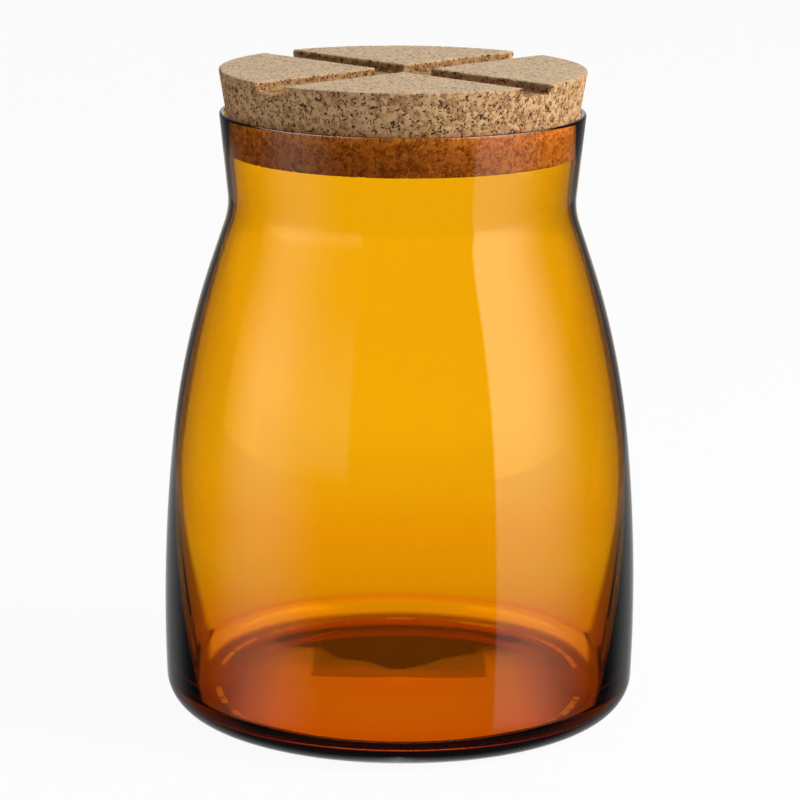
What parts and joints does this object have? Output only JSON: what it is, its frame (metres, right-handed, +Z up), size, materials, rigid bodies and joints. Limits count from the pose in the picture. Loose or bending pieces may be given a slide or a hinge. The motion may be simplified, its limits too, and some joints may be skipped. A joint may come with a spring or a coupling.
{
  "type": "glass jar with cork lid",
  "caption": "Round storage jar of tinted glass with a narrow waist below the mouth, closed by a tapered cork lid with crossing channels across its top.",
  "frame": {"origin": "on the jar's axis, on the surface that the jar stands on", "axes": "+Z up along the jar's axis, out through the mouth; -Y is the side that the picture shows"},
  "size_m": [0.1502, 0.1502, 0.2049],
  "materials": {
    "amber_glass": "clear amber glass, smooth and fire-polished",
    "cork": "pressed granulated cork, matt with dark flecks"
  },
  "bodies": {
    "jar": {"glass_jar": "amber_glass"},
    "lid": {"cork_lid": "cork"}
  },
  "joints": [
    {"name": "lid_lift", "type": "slide", "parent": "jar", "child": "lid", "axis": [0, 0, 1], "range_m": [0, 0.06]}
  ]
}
